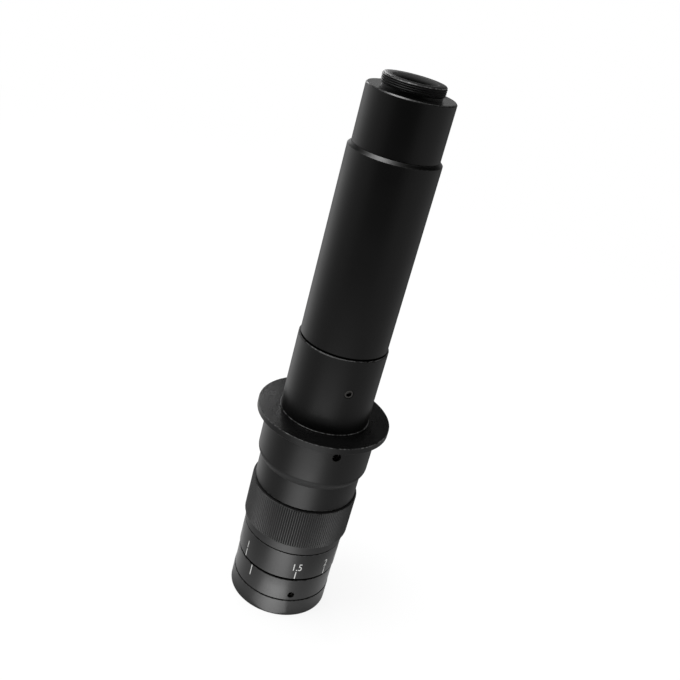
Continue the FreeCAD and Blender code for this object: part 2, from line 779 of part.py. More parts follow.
def cut_knurl(body):
    """Cut straight V grooves round the grip, all alike and evenly spaced."""
    half_angle = 180 / rib_count
    outer_reach = knurl_radius + rib_depth
    spread = knurl_radius * 2 * math.sin(math.radians(half_angle)) - rib_land
    sketch = new_sketch(body, "knurl_groove_outline", "XY_Plane", distance=knurl_foot)
    tip = knurl_radius - rib_depth
    places = [
        Vector(tip.value, 0, 0),
        Vector(outer_reach.value, -spread.value, 0),
        Vector(outer_reach.value, spread.value, 0),
    ]
    for index in range(3):
        sketch.addGeometry(Part.LineSegment(places[index], places[(index + 1) % 3]), False)
    for index in range(3):
        sketch.addConstraint(Sketcher.Constraint("Coincident", index, 2, (index + 1) % 3, 1))
    hold_across(sketch, 0, 1, tip)
    hold_up(sketch, 0, 1, ZERO)
    hold_across(sketch, 1, 1, outer_reach)
    sketch.addConstraint(Sketcher.Constraint("Symmetric", 1, 1, 1, 2, -1))
    width = spread * 2
    bind(sketch, Sketcher.Constraint("DistanceY", 1, 1, 1, 2, width.value), width)
    groove = body.newObject("PartDesign::Pocket", "knurl_groove")
    groove.Profile = sketch
    groove.Reversed = True
    groove.Length = knurl_height.value
    groove.setExpression("Length", knurl_height.text)
    body.Tip = groove
    repeat(body, "knurl_pattern", [groove], rib_count)


cut_knurl(grip_ring)

# Body: neck, flare, stand seat and flange in one piece, with the web for the guide barrel
body_housing = turned("body_housing", [
    (neck_bore, neck_foot),
    (neck_radius, neck_foot, edge_break),
    (neck_radius, flare_foot),
    (seat_radius, seat_foot),
    (seat_radius, seat_top),
    (flange_radius, seat_top, edge_break),
    (flange_radius, flange_top, edge_break),
    (body_socket, flange_top, edge_break),
    (body_socket, web_top),
    (barrel_seat, web_top),
    (barrel_seat, web_foot),
    (neck_bore, web_foot),
])


def round_flare(body):
    """Round the edge where the flare meets the stand seat."""
    document.recompute()
    turning = body.Tip
    names = []
    for number, edge in enumerate(turning.Shape.Edges, start=1):
        on_level = abs(edge.BoundBox.ZMin - seat_foot.value) < 1e-4
        flat = edge.BoundBox.ZLength < 1e-4
        if on_level and flat and abs(edge.Curve.Radius - seat_radius.value) < 1e-4:
            names.append("Edge%d" % number)
    rounding = body.newObject("PartDesign::Fillet", "flare_rounding")
    rounding.Base = (turning, names)
    rounding.Radius = flare_round.value
    rounding.setExpression("Radius", flare_round.text)
    body.Tip = rounding


round_flare(body_housing)
body_screw_level = seat_top - body_screw_drop
radial_holes(
    body_housing,
    body_screw_level,
    body_screw_azimuth,
    body_screw_radius + screw_fit,
    body_socket - body_screw_radius,
    seat_radius + seat_fit,
)
set_screws(
    "body_screws",
    body_screw_level,
    body_screw_azimuth,
    body_screw_radius,
    spigot_radius,
    spigot_radius + body_screw_length,
)

# Lower tube, held in the body by the body screws
spigot_foot = web_top + cell_gap
socket_foot = lower_tube_top - socket_depth
lower_tube = turned("lower_tube", [
    (spigot_bore, spigot_foot, edge_break),
    (spigot_radius, spigot_foot, edge_break),
    (spigot_radius, flange_top),
    (foot_bead_radius, flange_top),
    (foot_bead_radius, flange_top + foot_bead_height, edge_break),
    (lower_tube_radius, flange_top + foot_bead_height),
    (lower_tube_radius, lower_tube_top, lip_bevel),
    (tube_socket, lower_tube_top, edge_break),
    (tube_socket, socket_foot),
    (spigot_bore, socket_foot),
])
tube_screw_level = lower_tube_top - tube_screw_drop
radial_holes(
    lower_tube,
    tube_screw_level,
    tube_screw_azimuth,
    tube_screw_radius + screw_fit,
    tube_socket - tube_screw_radius,
    lower_tube_radius + seat_fit,
)
groove_radius = inner_spigot_radius - screw_groove_depth
set_screws(
    "lower_tube_screws",
    tube_screw_level,
    tube_screw_azimuth,
    tube_screw_radius,
    groove_radius,
    lower_tube_radius - tube_screw_inset,
)

# Main tube with its spigot, the screw groove and the ledge for the tube lens
ledge = main_tube_foot + ledge_height
groove_half_width = tube_screw_radius + cam_fit
inner_spigot_foot = socket_foot + cell_gap
turned("main_tube", [
    (inner_spigot_bore, inner_spigot_foot, edge_break),
    (inner_spigot_radius, inner_spigot_foot, edge_break),
    (inner_spigot_radius, tube_screw_level - groove_half_width),
    (groove_radius, tube_screw_level - groove_half_width),
    (groove_radius, tube_screw_level + groove_half_width),
    (inner_spigot_radius, tube_screw_level + groove_half_width),
    (inner_spigot_radius, main_tube_foot),
    (main_tube_radius, main_tube_foot, edge_break),
    (main_tube_radius, main_tube_top, tube_bevel),
    (main_tube_bore, main_tube_top),
    (main_tube_bore, ledge),
    (inner_spigot_bore, ledge),
])

# Camera adapter: its spigot, barrel, cap and the neck that carries the camera thread
stop_seat_foot = adapter_top - adapter_cap
stop_seat_top = stop_seat_foot + stop_seat_depth
relief_top = adapter_top + thread_relief_width
turned("c_mount_adapter", [
    (adapter_bore, main_tube_top - adapter_spigot_length, edge_break),
    (adapter_spigot_radius, main_tube_top - adapter_spigot_length, edge_break),
    (adapter_spigot_radius, main_tube_top),
    (adapter_radius, main_tube_top, edge_break),
    (adapter_radius, adapter_top, adapter_bevel),
    (thread_relief_radius, adapter_top),
    (thread_relief_radius, relief_top),
    (c_mount_radius, relief_top, edge_break),
    (c_mount_radius, c_mount_top, adapter_bevel),
    (throat_radius, c_mount_top, edge_break),
    (throat_radius, stop_seat_top),
    (stop_seat_radius, stop_seat_top),
    (stop_seat_radius, stop_seat_foot),
    (adapter_bore, stop_seat_foot),
])
turned("glare_stop", [
    (glare_stop_bore, stop_seat_top - aperture_thickness, edge_break),
    (stop_seat_radius - seat_fit, stop_seat_top - aperture_thickness),
    (stop_seat_radius - seat_fit, stop_seat_top),
    (glare_stop_bore, stop_seat_top),
])

# Lens groups, from the front of the lens to the camera
for piece in front.make(fixed_cell_radius):
    place(piece, front_cell_mouth + front.length, upside_down=True)
for group, pin_level, azimuth in (
    (variator, variator_pin, variator_azimuth),
    (compensator, compensator_pin, compensator_azimuth),
):
    group_pieces = group.make(moving_cell_radius)
    radial_holes(
        group_pieces[0],
        group.length / 2,
        azimuth,
        pin_shank + screw_fit,
        moving_cell_radius - pin_sink - screw_fit,
        moving_cell_radius + seat_fit,
        count=1,
    )
    for piece in group_pieces:
        place(piece, pin_level - group.length / 2)
    follower(group.prefix + "_follower", pin_level, azimuth)
for piece in rear.make(fixed_cell_radius):
    place(piece, rear_cell_foot)
for piece in relay.make(tube_cell_radius):
    place(piece, ledge)
stop_foot = rear_cell_foot + rear.retainer_top
turned("aperture_stop", [
    (aperture_radius, stop_foot),
    (rear.reach, stop_foot),
    (rear.reach, stop_foot + aperture_thickness),
    (aperture_radius, stop_foot + aperture_thickness),
])


def check_features():
    """Stop if anything in the document failed, or if a cut removed nothing."""
    cutters = ("PartDesign::Pocket", "PartDesign::Groove", "PartDesign::SubtractiveHelix")
    for item in document.Objects:
        if "Invalid" in item.State or "Error" in item.State:
            raise RuntimeError("failed: " + item.Name)
        if item.TypeId in cutters:
            removed = item.BaseFeature.Shape.Volume - item.Shape.Volume
            if removed < 0.01:
                raise RuntimeError("cuts nothing: " + item.Name)


def write_pieces():
    """Check every piece and write it to its own file."""
    for body in pieces:
        if body.Shape.isNull() or not body.Shape.isValid():
            raise RuntimeError("bad shape: " + body.Label)
    os.makedirs("parts", exist_ok=True)
    for body in pieces:
        solids = len(body.Shape.Solids)
        body.Shape.exportStep("parts/" + body.Label + ".step")
        print("%-24s %d solid(s) %10.1f mm3" % (body.Label, solids, body.Shape.Volume))


document.recompute()
check_features()
write_pieces()
print("pins at rest %.3f and %.3f" % (variator_pin.value, compensator_pin.value))
print("stand seat from %.3f to %.3f" % (seat_foot.value, seat_top.value))
print("camera thread from %.3f to %.3f" % (relief_top.value, c_mount_top.value))
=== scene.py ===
# %% [markdown]
# # A zoom lens for a machine-vision camera
# The lens is a stack of turned, black anodised aluminium pieces with glass inside. The solids
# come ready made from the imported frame, in metres, standing on z = 0 with the optical axis
# along +Z. This lesson gives them their finishes, adds the fine details that are too small for
# the solids, and lights them like a catalogue picture.

# %% Load the frame
import json
import math

import bmesh
import bpy
from mathutils import Matrix, Vector


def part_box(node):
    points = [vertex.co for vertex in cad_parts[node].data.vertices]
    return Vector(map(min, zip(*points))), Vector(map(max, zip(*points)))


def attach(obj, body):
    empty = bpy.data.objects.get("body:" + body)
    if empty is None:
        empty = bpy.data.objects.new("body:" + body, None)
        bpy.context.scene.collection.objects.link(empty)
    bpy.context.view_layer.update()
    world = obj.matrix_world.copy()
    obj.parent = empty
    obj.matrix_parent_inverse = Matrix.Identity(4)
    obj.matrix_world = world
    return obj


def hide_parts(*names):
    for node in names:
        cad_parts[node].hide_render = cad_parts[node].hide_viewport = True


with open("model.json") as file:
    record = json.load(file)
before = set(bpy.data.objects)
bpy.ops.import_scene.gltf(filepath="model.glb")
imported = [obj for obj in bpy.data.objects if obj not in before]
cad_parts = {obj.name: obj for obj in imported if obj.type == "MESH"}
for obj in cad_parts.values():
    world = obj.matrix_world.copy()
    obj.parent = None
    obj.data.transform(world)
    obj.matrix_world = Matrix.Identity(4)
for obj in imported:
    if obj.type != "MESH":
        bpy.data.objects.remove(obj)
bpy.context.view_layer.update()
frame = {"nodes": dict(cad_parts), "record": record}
NODES = frame["nodes"]
MM = 0.001
scene = bpy.context.scene

# %% [markdown]
# ## Writing node trees as Python
# Both materials and Geometry Nodes are node trees, and most of their nodes only add or multiply
# numbers. A small class wraps a socket, so that a Python expression adds those Math nodes
# itself. Every other node comes from one method that takes the node's type, its settings and
# its inputs.

# %% Sockets that can be added and multiplied


class Wire:
    """One output socket, which Python operators can work on."""

    def __init__(self, tree, socket):
        self.tree = tree
        self.socket = socket

    def math(self, operation, *values):
        inputs = dict(enumerate((self,) + values))
        return self.tree.add("ShaderNodeMath", {"operation": operation}, inputs)

    def __add__(self, other):
        return self.math("ADD", other)

    def __sub__(self, other):
        return self.math("SUBTRACT", other)

    def __mul__(self, other):
        return self.math("MULTIPLY", other)

    def __truediv__(self, other):
        return self.math("DIVIDE", other)

    def __rsub__(self, other):
        return (self * -1) + other

    __radd__ = __add__
    __rmul__ = __mul__


class Tree:
    """A node tree that is being filled."""

    def __init__(self, tree):
        self.tree = tree
        tree.nodes.clear()

    def node(self, kind, settings=None, inputs=None):
        made = self.tree.nodes.new(kind)
        for name, value in (settings or {}).items():
            setattr(made, name, value)
        for name, value in (inputs or {}).items():
            if isinstance(value, Wire):
                self.tree.links.new(value.socket, made.inputs[name])
            else:
                made.inputs[name].default_value = value
        return made

    def add(self, kind, settings=None, inputs=None, output=0):
        return Wire(self, self.node(kind, settings, inputs).outputs[output])

    def split(self, vector):
        """The three parts of a vector."""
        node = self.node("ShaderNodeSeparateXYZ", None, {0: vector})
        return [Wire(self, node.outputs[axis]) for axis in range(3)]

    def join(self, x, y, z):
        return self.add("ShaderNodeCombineXYZ", None, {0: x, 1: y, 2: z})

    def ramp(self, value, low, high, first=0.0, last=1.0):
        """Move smoothly from one number to another while value goes from low to high."""
        inputs = {0: value, 1: low, 2: high, 3: first, 4: last}
        return self.add("ShaderNodeMapRange", {"interpolation_type": "SMOOTHSTEP"}, inputs)

    def noise(self, vector, scale, detail):
        """Smooth random numbers between 0 and 1."""
        return self.add("ShaderNodeTexNoise", None, {0: vector, "Scale": scale, "Detail": detail})

    def blend(self, share, first, second):
        """Mix two colours."""
        settings = {"data_type": "RGBA"}
        return self.add("ShaderNodeMix", settings, {0: share, 6: first, 7: second}, output=2)


print("tree helpers are ready")

# %% [markdown]
# ## Camera
# The photograph looks down on the lens from about 25 degrees above the table, from so near that
# the far end looks thinner, and the camera leans to the side, so the tube crosses the picture.
# The camera is placed with the three directions that follow from those angles.

# %% Camera
VIEW_DOWN = math.radians(24.8478)
VIEW_LEAN = math.radians(15.346)
CAMERA_PLACE = Vector((0.0, -0.34213, 0.2919))
LENS_MM = 47.0
SENSOR_MM = 36.0
NEAREST_SEEN = 0.01
AIM_RIGHT = -0.00402
AIM_UP = 0.00152

level_right = Vector((1, 0, 0))
level_up = Vector((0, math.sin(VIEW_DOWN), math.cos(VIEW_DOWN)))
forward = Vector((0, math.cos(VIEW_DOWN), -math.sin(VIEW_DOWN)))
leaning_right = math.cos(VIEW_LEAN) * level_right + math.sin(VIEW_LEAN) * level_up
leaning_up = math.cos(VIEW_LEAN) * level_up - math.sin(VIEW_LEAN) * level_right
forward = (forward + AIM_RIGHT * leaning_right + AIM_UP * leaning_up).normalized()
right = forward.cross(leaning_up).normalized()
up = right.cross(forward)

camera_data = bpy.data.cameras.new("camera")
camera_data.lens = LENS_MM
camera_data.sensor_width = SENSOR_MM
camera_data.clip_start = NEAREST_SEEN
camera = bpy.data.objects.new("camera", camera_data)
scene.collection.objects.link(camera)
camera.matrix_world = Matrix((
    (right.x, up.x, -forward.x, CAMERA_PLACE.x),
    (right.y, up.y, -forward.y, CAMERA_PLACE.y),
    (right.z, up.z, -forward.z, CAMERA_PLACE.z),
    (0, 0, 0, 1),
))
scene.camera = camera
scene.view_settings.view_transform = "Standard"
print("camera at", tuple(round(c, 3) for c in CAMERA_PLACE))

# %% [markdown]
# ## Light
# Black metal shows hardly any colour of its own: what it shows is the room. Here the room is a
# white backdrop behind and to the left of the lens, and a darker studio in front of it, to the
# right and overhead. The camera sees white everywhere, while reflections see the backdrop fade.

# %% The glow of the backdrop
BACKDROP_SIDE = Vector((-0.707, 0.707, 0.0))
BACKDROP_GLOW = 0.95
BACKDROP_EDGE = 0.35
BACKDROP_SHARPNESS = 2.4
SMALLEST_REACH = 0.0001


def backdrop_glow(tree, place, darkest):
    """How bright the studio looks in a direction from the lens: white at the back left.

    It also gives the distance from the axis, and how far the direction points to the
    camera's side: 1 in front of the lens and -1 behind it.
    """
    x, y, _ = tree.split(place)
    reach = (x * x + y * y).math("SQRT").math("MAXIMUM", SMALLEST_REACH)
    along = (x * BACKDROP_SIDE.x + y * BACKDROP_SIDE.y) / reach
    rise = ((along - BACKDROP_EDGE) / (1 - BACKDROP_EDGE)).math("MAXIMUM", 0.0)
    glow = rise.math("POWER", BACKDROP_SHARPNESS) * (BACKDROP_GLOW - darkest) + darkest
    return glow, reach, y / reach * -1


def seen_by(tree, names):
    """1 for the rays that are named, else 0."""
    node = tree.node("ShaderNodeLightPath")
    total = Wire(tree, node.outputs[names[0]])
    for name in names[1:]:
        total = total.math("MAXIMUM", Wire(tree, node.outputs[name]))
    return total


# %% World
WORLD_FILL = 0.8
WORLD_DARKEST = 0.35
HIGH_FADE_FROM = 0.13
HIGH_FADE_TO = 0.30
HIGH_SHARE = 0.05
FRONT_FADE_FROM = 0.2
FRONT_FADE_TO = 0.8
FRONT_LOSS = 0.95
world = bpy.data.worlds.new("studio")
world.use_nodes = True
scene.world = world
world.cycles.sampling_method = "NONE"
sky = Tree(world.node_tree)
direction = sky.add("ShaderNodeTexCoord", None, None, output=0)
glow, _, ahead = backdrop_glow(sky, direction, WORLD_DARKEST)
height = sky.split(direction)[2]
high_fade = sky.ramp(height, HIGH_FADE_FROM, HIGH_FADE_TO, 1.0, HIGH_SHARE)
front_fade = 1 - sky.ramp(ahead, FRONT_FADE_FROM, FRONT_FADE_TO) * FRONT_LOSS
to_camera = seen_by(sky, ["Is Camera Ray"])
to_gloss = seen_by(sky, ["Is Glossy Ray", "Is Transmission Ray"])
mirrored = to_gloss * (glow * high_fade * front_fade)
plain = (1 - to_gloss) * (1 - to_camera) * WORLD_FILL
light = sky.node("ShaderNodeBackground", None, {
    "Color": (1, 1, 1, 1),
    "Strength": to_camera + mirrored + plain,
})
ending = sky.node("ShaderNodeOutputWorld")
sky.tree.links.new(light.outputs[0], ending.inputs["Surface"])
print("world is white for the camera, and fades for reflections")

# %% [markdown]
# ## Floor
# The camera sees white paper with a faint shadow near the foot. Reflections see light painted on
# the paper: the backdrop's glow, a painted pool of light round the foot with a painted contact
# shadow where the lens touches the paper, painted shade in a strip straight behind, and a glow
# in front that falls off towards the camera.

# %% Floor
FLOOR_HALF = 3.0
FLOOR_HEIGHT = -0.00005
PAPER_WHITE = (0.95, 0.95, 0.95, 1)
FLOOR_WHITE_SHARE = 0.84
SHADOW_FROM = 0.1
SHADOW_TO = 0.9
SIDE_GLOW = 0.27
FRONT_GLOW = 0.44
FRONT_REACH = 0.27
FRONT_FALL = 0.17
FRONT_LIMIT = 1.3
FRONT_FROM = 0.66
FRONT_TO = 0.95
NEAR_GLOW = 0.7
NEAR_FROM = 0.03
NEAR_TO = 0.075
NEAR_FRONT_SHARE = 0.72
NEAR_TURN_FROM = -0.2
NEAR_TURN_TO = 0.6
# Painted contact shadow: the paper's glow darkens where the lens touches it.
CONTACT_SHADOW_SHARE = 0.5
CONTACT_SHADOW_FROM = 0.023
CONTACT_SHADOW_TO = 0.03
# Painted shade: the paper's glow is dimmer in a strip straight behind the lens.
BEHIND_GLOW_SHARE = 0.3
BEHIND_FROM = -0.98
BEHIND_TO = -0.72
GLOW_LIMIT = 1.5


def flat_sheet(name, half, height):
    """A square sheet, cut into a few faces."""
    mesh = bpy.data.meshes.new(name)
    steps = [-half, -half / 3, half / 3, half]
    points = [(x, y, height) for y in steps for x in steps]
    faces = [(4 * j + i, 4 * j + i + 1, 4 * j + i + 5, 4 * j + i + 4)
             for j in range(3) for i in range(3)]
    mesh.from_pydata(points, [], faces)
    made = bpy.data.objects.new(name, mesh)
    scene.collection.objects.link(made)
    return made


floor = flat_sheet("floor", FLOOR_HALF, FLOOR_HEIGHT)
floor_paper = bpy.data.materials.new("floor_paper")
floor_paper.use_nodes = True
floor_paper.cycles.emission_sampling = "NONE"
paper = Tree(floor_paper.node_tree)
place = paper.add("ShaderNodeTexCoord", None, None, output=3)
glow, reach, ahead = backdrop_glow(paper, place, SIDE_GLOW)
# Painted light: the glow in front of the lens falls off towards the camera.
falling = ((FRONT_REACH - reach) / FRONT_FALL).math("EXPONENT").math("MINIMUM", FRONT_LIMIT)
front = paper.ramp(ahead, FRONT_FROM, FRONT_TO)
glow = glow * (1 - front) + falling * FRONT_GLOW * front
# Painted light: a pool of glow on the paper round the foot, weaker in front.
near = paper.ramp(reach, NEAR_FROM, NEAR_TO, NEAR_GLOW, 0.0)
near = near * paper.ramp(ahead, NEAR_TURN_FROM, NEAR_TURN_TO, 1.0, NEAR_FRONT_SHARE)
# Painted shadow: the glow darkens where the lens touches the paper.
contact_shadow = paper.ramp(reach, CONTACT_SHADOW_FROM, CONTACT_SHADOW_TO, CONTACT_SHADOW_SHARE, 1.0)
# Painted shade: the glow is dimmer in a strip straight behind.
behind = paper.ramp(ahead, BEHIND_FROM, BEHIND_TO, BEHIND_GLOW_SHARE, 1.0)
mirrored = (glow * behind + near).math("MINIMUM", GLOW_LIMIT) * contact_shadow
to_camera = seen_by(paper, ["Is Camera Ray"])
to_gloss = seen_by(paper, ["Is Glossy Ray", "Is Transmission Ray"])
matte = paper.add("ShaderNodeBsdfDiffuse", None, {"Color": PAPER_WHITE})
white = paper.add("ShaderNodeEmission", None, {
    "Color": (1, 1, 1, 1),
    "Strength": to_camera + to_gloss * mirrored,
})
white_share = paper.ramp(reach, SHADOW_FROM, SHADOW_TO, FLOOR_WHITE_SHARE, 1.0)
share = to_camera * white_share + to_gloss
surface = paper.add("ShaderNodeMixShader", None, {0: share, 1: matte, 2: white})
paper.node("ShaderNodeOutputMaterial", None, {"Surface": surface})
floor.data.materials.append(floor_paper)
print("floor stands at", floor.data.vertices[0].co.z)

# %% [markdown]
# ## Lamps
# A key lamp high at the left draws the bright line on the upward bevels, and a lamp behind the
# lens lights the left of the flange. Three small boards lean in front of the lens like
# reflector cards, a little to the left, and give it a soft bright stripe. Each board is placed
# from the heights that it serves: it stands square to the line of sight after the front of the
# lens has mirrored it. The camera doesn't see the lamps themselves.

# %% Lamps
CARD_START = 0.0232
CARD_LIFT = 0.0002
CARD_SPREAD = 70.0
CARD_TURN = 0.042
# Name, place, point that it faces, side, and radiance.
LAMPS = (
    ("key_lamp", (-0.29, -0.115, 1.12), (0, 0, 0.2), 0.42, 12.0),
    ("back_lamp", (-0.30, 0.84, 0.55), (0, 0, 0.1), 0.28, 6.6),
)
# Name, lowest and highest point that it serves, width, and radiance.
CARDS = (
    ("near_card", 0.0, 0.017, 0.020, 5.9),
    ("middle_card", 0.017, 0.048, 0.040, 4.9),
    ("far_card", 0.048, 0.100, 0.105, 2.9),
)


def soft_lamp(name, place, aim, width, depth, radiance, spread=180.0):
    """A rectangular lamp that faces a point, as bright as radiance when seen from there."""
    half = math.radians(spread) / 2
    gathering = 1.0 if spread >= 180 else 1 - half / math.tan(half)
    lamp = bpy.data.lights.new(name, "AREA")
    lamp.shape = "RECTANGLE"
    lamp.size = width
    lamp.size_y = depth
    lamp.spread = 2 * half
    lamp.energy = radiance * math.pi * width * depth * gathering
    holder = bpy.data.objects.new(name, lamp)
    holder.location = place
    holder.rotation_euler = (Vector(aim) - Vector(place)).to_track_quat("-Z", "Y").to_euler()
    holder.visible_camera = False
    scene.collection.objects.link(holder)


def mirror_slope(height):
    """How steeply the front of the lens mirrors the camera's look down at a height."""
    return math.atan2(CAMERA_PLACE.z - height, -CAMERA_PLACE.y)


def leaning_card(name, low, high, width, radiance):
    """A board in front of the lens that its front mirrors between two heights."""
    middle = (low + high) / 2
    slope = mirror_slope(middle)
    aside = CARD_TURN * (CARD_START + 2 * middle / math.tan(slope))
    away = CARD_START + low / math.tan(mirror_slope(low))
    foot = Vector((-aside, -away, CARD_LIFT))
    towards_lens = Vector((0, math.cos(slope), math.sin(slope)))
    up_the_card = Vector((0, -math.sin(slope), math.cos(slope)))
    depth = (high - low) * math.cos(slope)
    centre = foot + up_the_card * (depth / 2)
    soft_lamp(name, centre, centre + towards_lens, width, depth, radiance, CARD_SPREAD)


for name, lamp_place, aim, side, radiance in LAMPS:
    soft_lamp(name, lamp_place, aim, side, side, radiance)
for name, low, high, width, radiance in CARDS:
    leaning_card(name, low, high, width, radiance)

# %% [markdown]
# ## Black anodised aluminium
# Anodising turns the skin of the aluminium into hard oxide that soaks up black dye. Under it
# the tool of the lathe has left rings of fine marks, so the sheen spreads a little along the
# axis. The marks follow the radius plus a share of the height, which draws rings round a tube
# and circles on a flat face alike. Sharp edges wear paler. The mouth of the threaded neck has
# painted light: the wall of its bore is painted paler near the top and fades to black deeper
# down, where shade falls. The flare under the stand seat is duller than the rest of the body.

# %% Helpers for turned surfaces


def new_material(name):
    made = bpy.data.materials.new(name)
    made.use_nodes = True
    return made, Tree(made.node_tree)


def turned_place(tree):
    """The object coordinates, the distance from the axis and the height, in millimetres."""
    place = tree.add("ShaderNodeTexCoord", None, None, output=3)
    spot = tree.add("ShaderNodeVectorMath", {"operation": "SCALE"}, {0: place, "Scale": 1 / MM})
    x, y, z = tree.split(spot)
    return spot, (x * x + y * y).math("SQRT"), z


def close_to_edges(tree, reach, z, edges, width):
    """1 on the listed edges, each a radius and a height in millimetres, and 0 away from them."""
    nearest = None
    for edge_radius, edge_height in edges:
        across = reach - edge_radius
        along = z - edge_height
        distance = (across * across + along * along).math("SQRT")
        nearest = distance if nearest is None else nearest.math("MINIMUM", distance)
    return tree.ramp(nearest, 0.0, width, 1.0, 0.0)


def finish_off(tree, values, normal=None):
    """Close a material with one Principled shader."""
    if normal is not None:
        values = dict(values, Normal=normal)
    shader = tree.add("ShaderNodeBsdfPrincipled", None, values)
    tree.node("ShaderNodeOutputMaterial", None, {"Surface": shader})


# %% Anodised material
DARK_TINT = (0.8, 0.8, 0.82)
PALE_TINT = (1.2, 1.19, 1.18)
HEIGHT_SHARE = 0.8
FINE_MARKS = 9.0
FINE_TURN = 0.05
COARSE_MARKS = 2.2
COARSE_TURN = 0.03
STAIN_SCALE = 0.07
GRAIN_SCALE = 9.0
WALL_MARKS = 0.0007
WALL_GRAIN = 0.0005
FACE_MARKS = 0.014
FACE_SHEEN = 0.12
FACE_FROM = 0.01
FACE_TO = 0.03
FINE_ROUGHNESS = 0.08
STAIN_ROUGHNESS = 0.10
GRAIN_ROUGHNESS = 0.04
EDGE_WIDTH = 0.32
EDGE_SHEEN = 0.1
PATCH_SCALE = 0.8
PATCH_FROM = 0.35
PATCH_TO = 0.7
RUBBED_GREY = (0.11, 0.11, 0.11, 1)
# Painted light in a bore: its wall is paler near the mouth and fades to black over a depth below
# it.
MOUTH_PAINTED_LIGHT = (0.10, 0.10, 0.10, 1)
MOUTH_LIGHT_DEPTH = 2.2
MOUTH_FROM = 0.05
MOUTH_TO = 0.15
MOUTH_ROUGHNESS = 0.2
DULLING = 0.18
DULL_BLEND = 0.5


def anodised(name, tone, roughness, edges=(), faces=(), wear=0.5, mouth=None, dull=None):
    """Dyed black aluminium with rings of turning marks, faint stains and worn edges.

    The marks are deeper on the flat faces, which are given by their heights. The mouth of a
    bore, given as its radius and height, gets painted light: its wall is painted paler near the
    top and fades to black deeper down, where shade falls. The skin is duller between the two
    heights in dull.
    """
    made, tree = new_material(name)
    spot, reach, z = turned_place(tree)
    x, y, _ = tree.split(spot)
    feed = reach + z * HEIGHT_SHARE
    fine_place = tree.join(x * FINE_TURN, y * FINE_TURN, feed * FINE_MARKS)
    fine = tree.noise(fine_place, 1.0, 3.0)
    coarse_place = tree.join(x * COARSE_TURN, y * COARSE_TURN, feed * COARSE_MARKS)
    coarse = tree.noise(coarse_place, 1.0, 2.0)
    stain = tree.noise(spot, STAIN_SCALE, 3.0)
    grain = tree.noise(spot, GRAIN_SCALE, 2.0)
    dark = tuple(tone * part for part in DARK_TINT) + (1,)
    pale = tuple(tone * part for part in PALE_TINT) + (1,)
    colour = tree.blend(coarse * 0.5 + stain * 0.5, dark, pale)
    rough = roughness + (fine - 0.5) * FINE_ROUGHNESS
    rough = rough + (stain - 0.5) * STAIN_ROUGHNESS + (grain - 0.5) * GRAIN_ROUGHNESS
    if edges:
        rubbed = close_to_edges(tree, reach, z, edges, EDGE_WIDTH)
        patches = tree.noise(spot, PATCH_SCALE, 3.0)
        rubbed = rubbed * tree.ramp(patches, PATCH_FROM, PATCH_TO) * wear
        colour = tree.blend(rubbed, colour, RUBBED_GREY)
        rough = rough - rubbed * EDGE_SHEEN
    # Painted light: the bore's wall is paler near its mouth and fades to black deeper down, where
    # shade falls.
    if mouth:
        bore, lip = mouth
        inside = tree.ramp(reach, bore + MOUTH_FROM, bore + MOUTH_TO, 1.0, 0.0)
        inside = inside * tree.ramp(z, lip - MOUTH_LIGHT_DEPTH, lip)
        colour = tree.blend(inside, colour, MOUTH_PAINTED_LIGHT)
        rough = rough + inside * MOUTH_ROUGHNESS
    if dull:
        middle = (dull[0] + dull[1]) / 2
        half = (dull[1] - dull[0]) / 2
        away = (z - middle).math("ABSOLUTE")
        rough = rough + tree.ramp(away, half - DULL_BLEND, half, DULLING, 0.0)
    relief = fine * WALL_MARKS + grain * WALL_GRAIN
    for face in faces:
        on_face = tree.ramp((z - face).math("ABSOLUTE"), FACE_FROM, FACE_TO, 1.0, 0.0)
        relief = relief + fine * (on_face * FACE_MARKS)
        rough = rough - on_face * FACE_SHEEN
    bump = tree.add("ShaderNodeBump", None, {"Distance": MM, "Height": relief})
    finish_off(tree, {"Base Color": colour, "Roughness": rough, "IOR": 1.5}, bump)
    return made


def paint(node, material):
    """Give a solid its material, in every slot that it has."""
    slots = NODES[node].data.materials
    for index in range(len(slots)):
        slots[index] = material
    if not slots:
        slots.append(material)


def measure(node):
    """The radius, foot and top of a turned solid, in millimetres."""
    low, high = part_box(node)
    return high.x / MM, low.z / MM, high.z / MM


def rims(node, inset=0.12):
    """The two outer edges of a turned solid, each a radius and a height."""
    radius, foot, top = measure(node)
    return [(radius - inset, foot + inset), (radius - inset, top - inset)]


# %% Finish the outside pieces
TUBE_TONE = 0.0015
BODY_TONE = 0.0028
RING_TONE = 0.005
THREAD_TONE = 0.006
GRIP_TONE = 0.012
TUBE_ROUGHNESS = 0.38
BODY_ROUGHNESS = 0.40
RING_ROUGHNESS = 0.42
THREAD_ROUGHNESS = 0.50
GRIP_ROUGHNESS = 0.50
GRIP_INSET = 0.2
EDGE_INSET = 0.1
LIP_INSET = 0.7
LIP_DROP = 0.2
BEAD_LIFT = 0.5
BEVEL_WIDTH = 1.2
BEVEL_DROP = 1.25
CAP_INSET = 0.3
CREST_INSET = 0.25
FLANGE_RADIUS, BODY_FOOT, BODY_TOP = measure("body_housing")
FLARE = (BODY_FOOT + 11.9, BODY_FOOT + 16.5)
NECK_RADIUS = 23.2
BEAD_RADIUS, _, LOWER_TUBE_TOP = measure("lower_tube")
TUBE_RADIUS, _, TUBE_TOP = measure("main_tube")
ADAPTER_RADIUS, SPIGOT_FOOT, ADAPTER_TOP = measure("c_mount_adapter")
CAMERA_THREAD_RADIUS = 12.7
CAMERA_THREAD_PITCH = 25.4 / 32
NECK_HEIGHT = 4.85
SHOULDER = ADAPTER_TOP - NECK_HEIGHT
THROAT = 9.1
print("tops:", BODY_TOP, LOWER_TUBE_TOP, TUBE_TOP, SHOULDER, ADAPTER_TOP)
print("radii:", FLANGE_RADIUS, BEAD_RADIUS, TUBE_RADIUS, ADAPTER_RADIUS)

